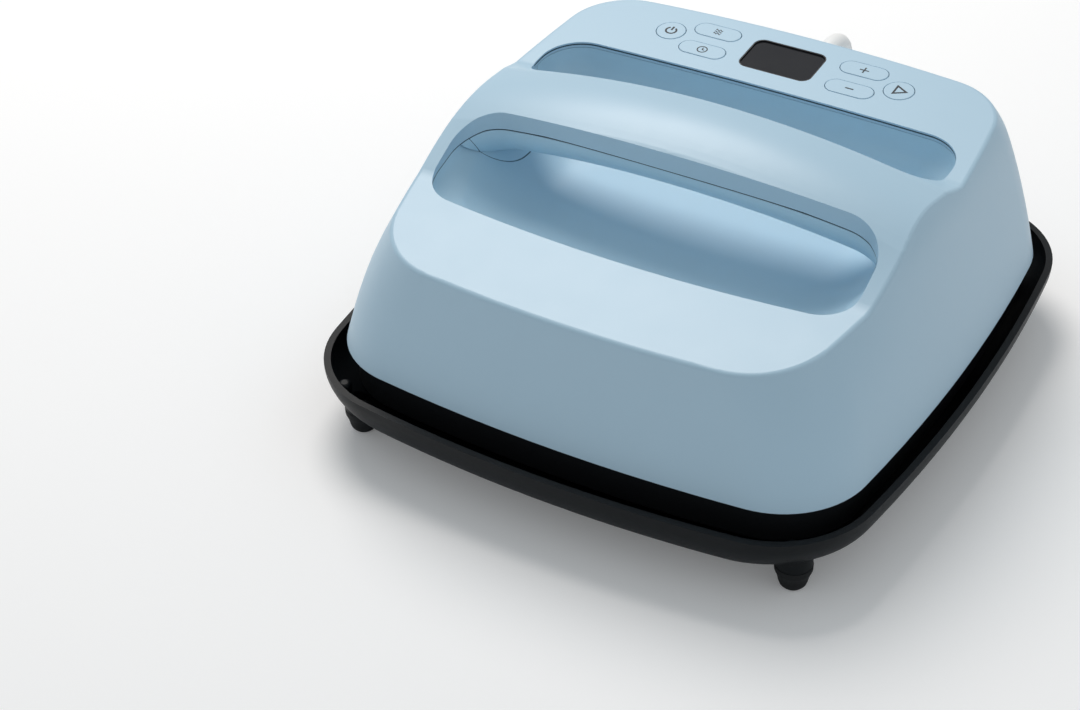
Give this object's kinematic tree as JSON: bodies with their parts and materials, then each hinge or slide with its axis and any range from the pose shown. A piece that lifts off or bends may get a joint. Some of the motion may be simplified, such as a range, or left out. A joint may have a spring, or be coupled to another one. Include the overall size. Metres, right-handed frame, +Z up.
{
  "type": "heat press",
  "caption": "Flat-bed craft heat press with a bar handle across a hand well, a control panel with display and keys, resting in an insulated tray on four feet.",
  "frame": {"origin": "on the floor, under the middle of the base tray", "axes": "+Z up, +Y to the rear where the cord leaves, +X to the user's right"},
  "size_m": [0.3539, 0.4591, 0.1512],
  "materials": {
    "base_shell": "satin, near black",
    "foot_rubber": "matt",
    "pad_rubber": "matt silicone",
    "plate_metal": "non-stick, satin",
    "element_steel": "drawn",
    "sheet_steel": "galvanised",
    "screw_steel": "zinc",
    "blanket": "needled fibre",
    "frame_plastic": "satin, black",
    "shell_blue": "semi-gloss, light blue",
    "liner_blue": "semi-gloss, mid blue",
    "key_blue": "semi-gloss, light blue",
    "display_dark": "gloss, dark",
    "module_glass": "display cell",
    "board_green": "solder mask",
    "part_black": "moulded",
    "can_sleeve": "shrink sleeve",
    "sink_metal": "extruded",
    "terminal_white": "moulded",
    "ribbon_grey": "flat",
    "lead_sleeve": "braided glass sleeve",
    "cord_white": "satin, off-white",
    "plug_brass": "plated"
  },
  "bodies": {
    "base": {"base_tray": "base_shell", "base_feet": "foot_rubber", "base_pads": "pad_rubber", "power_cord": "cord_white", "cord_coil": "cord_white", "plug_lead": "cord_white", "mains_plug": "cord_white", "plug_pins": "plug_brass"},
    "press": {"heat_plate": "plate_metal", "heating_element": "element_steel", "heater_cover": "sheet_steel", "thermistor": "part_black", "thermal_fuse": "part_black", "insulation_blanket": "blanket", "heat_shield": "sheet_steel", "plate_standoffs": "sheet_steel", "plate_screws": "screw_steel", "lower_frame": "frame_plastic", "chassis_plate": "sheet_steel", "housing_screws": "screw_steel", "top_housing": "shell_blue", "well_liner": "liner_blue", "liner_screws": "screw_steel", "handle_lower": "liner_blue", "handle_screws": "screw_steel", "display_window": "display_dark", "display_module": "module_glass", "control_board": "board_green", "board_screws": "screw_steel", "tact_switches": "part_black", "power_board": "board_green", "board_pillars": "screw_steel", "relay": "part_black", "transformer": "part_black", "capacitors": "can_sleeve", "heat_sink": "sink_metal", "terminal_blocks": "terminal_white", "ribbon_cable": "ribbon_grey", "ribbon_connectors": "terminal_white", "heater_leads": "lead_sleeve", "inner_cord": "cord_white", "cord_boot": "cord_white"},
    "power_key": {"power_button": "key_blue", "power_plunger": "terminal_white"},
    "temperature_key": {"temperature_button": "key_blue", "temperature_plunger": "terminal_white"},
    "timer_key": {"timer_button": "key_blue", "timer_plunger": "terminal_white"},
    "plus_key": {"plus_button": "key_blue", "plus_plunger": "terminal_white"},
    "minus_key": {"minus_button": "key_blue", "minus_plunger": "terminal_white"},
    "start_key": {"start_button": "key_blue", "start_plunger": "terminal_white"}
  },
  "joints": [
    {"name": "press_lift", "type": "slide", "parent": "base", "child": "press", "axis": [0, 0, 1], "range_m": [0, 0.12]},
    {"name": "power_press", "type": "slide", "parent": "press", "child": "power_key", "axis": [0, 0.0797, -0.9968], "range_m": [0, 0.0008], "stiffness_N_per_m": 2500, "springref_m": -0.0003},
    {"name": "temperature_press", "type": "slide", "parent": "press", "child": "temperature_key", "axis": [0, 0.0797, -0.9968], "range_m": [0, 0.0008], "stiffness_N_per_m": 2500, "springref_m": -0.0003},
    {"name": "timer_press", "type": "slide", "parent": "press", "child": "timer_key", "axis": [0, 0.0797, -0.9968], "range_m": [0, 0.0008], "stiffness_N_per_m": 2500, "springref_m": -0.0003},
    {"name": "plus_press", "type": "slide", "parent": "press", "child": "plus_key", "axis": [0, 0.0797, -0.9968], "range_m": [0, 0.0008], "stiffness_N_per_m": 2500, "springref_m": -0.0003},
    {"name": "minus_press", "type": "slide", "parent": "press", "child": "minus_key", "axis": [0, 0.0797, -0.9968], "range_m": [0, 0.0008], "stiffness_N_per_m": 2500, "springref_m": -0.0003},
    {"name": "start_press", "type": "slide", "parent": "press", "child": "start_key", "axis": [0, 0.0797, -0.9968], "range_m": [0, 0.0008], "stiffness_N_per_m": 2500, "springref_m": -0.0003}
  ]
}
